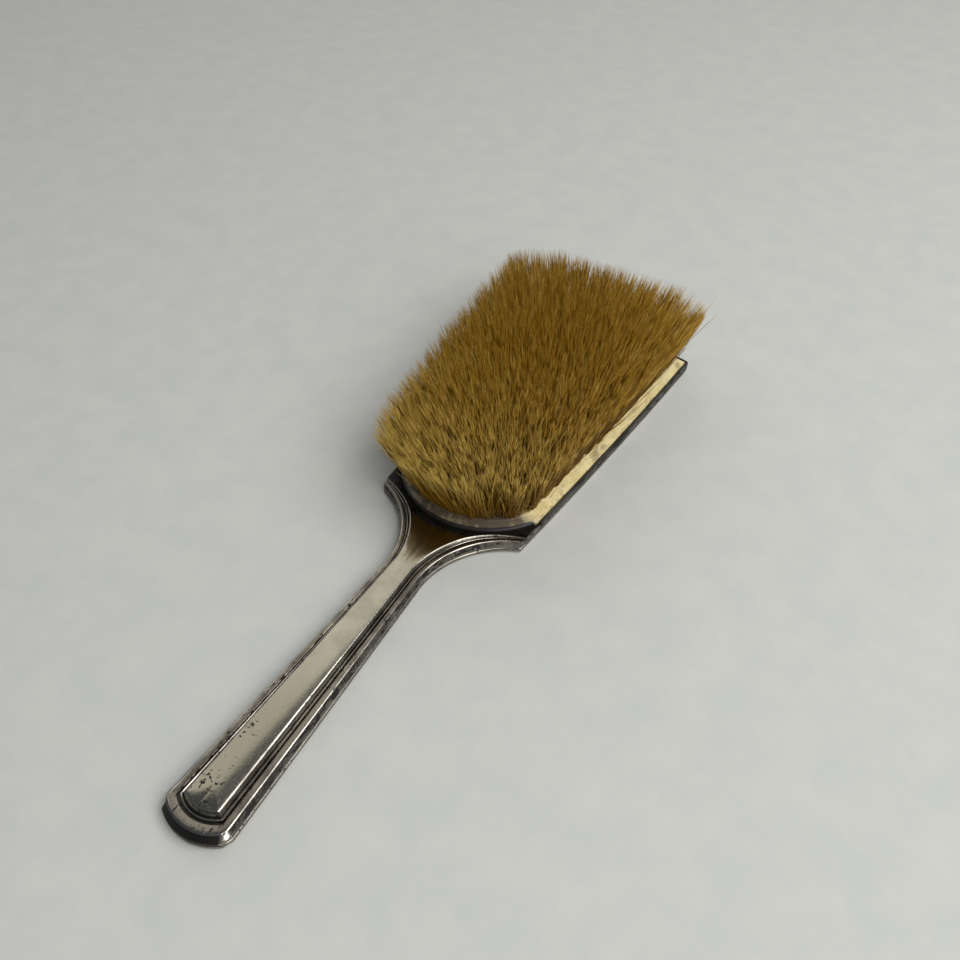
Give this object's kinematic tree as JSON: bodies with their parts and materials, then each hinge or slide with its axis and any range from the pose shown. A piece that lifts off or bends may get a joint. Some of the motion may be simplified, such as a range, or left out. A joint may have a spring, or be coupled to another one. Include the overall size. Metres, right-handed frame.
{
  "type": "clothes brush",
  "caption": "Handled clothes brush with a stamped plated back, a stepped-border handle, a flared head and a fanned field of natural bristle.",
  "frame": {"origin": "on the flat of the back, under the middle of the head, where the brush rests on its back", "axes": "+X from the butt of the handle to the far end of the head, +Y across the head, +Z the way the bristle points"},
  "size_m": [0.2469, 0.0826, 0.0315],
  "materials": {
    "silver_plate": "satin silver plate with dark tarnish in the grooves",
    "tarnished_plate": "dark tarnished silver plate, worn bright in patches",
    "cream_board": "smooth cream facing with fine scratches and grime",
    "bristle": "natural golden-brown bristle, trimmed",
    "cement": "dark setting cement",
    "steel": "plain drawn steel"
  },
  "bodies": {
    "root": {"back_shell": "silver_plate", "front_shell": "silver_plate", "head_rim": "tarnished_plate", "brush_board": "cream_board", "setting_cement": "cement", "handle_filler": "cement", "stiffening_rod": "steel", "bristle_row_01": "bristle", "bristle_row_02": "bristle", "bristle_row_03": "bristle", "bristle_row_04": "bristle", "bristle_row_05": "bristle", "bristle_row_06": "bristle", "bristle_row_07": "bristle", "bristle_row_08": "bristle", "bristle_row_09": "bristle", "bristle_row_10": "bristle", "bristle_row_11": "bristle", "bristle_row_12": "bristle", "bristle_row_13": "bristle", "bristle_row_14": "bristle", "bristle_row_15": "bristle", "bristle_row_16": "bristle", "bristle_row_17": "bristle", "bristle_row_18": "bristle"}
  },
  "joints": []
}
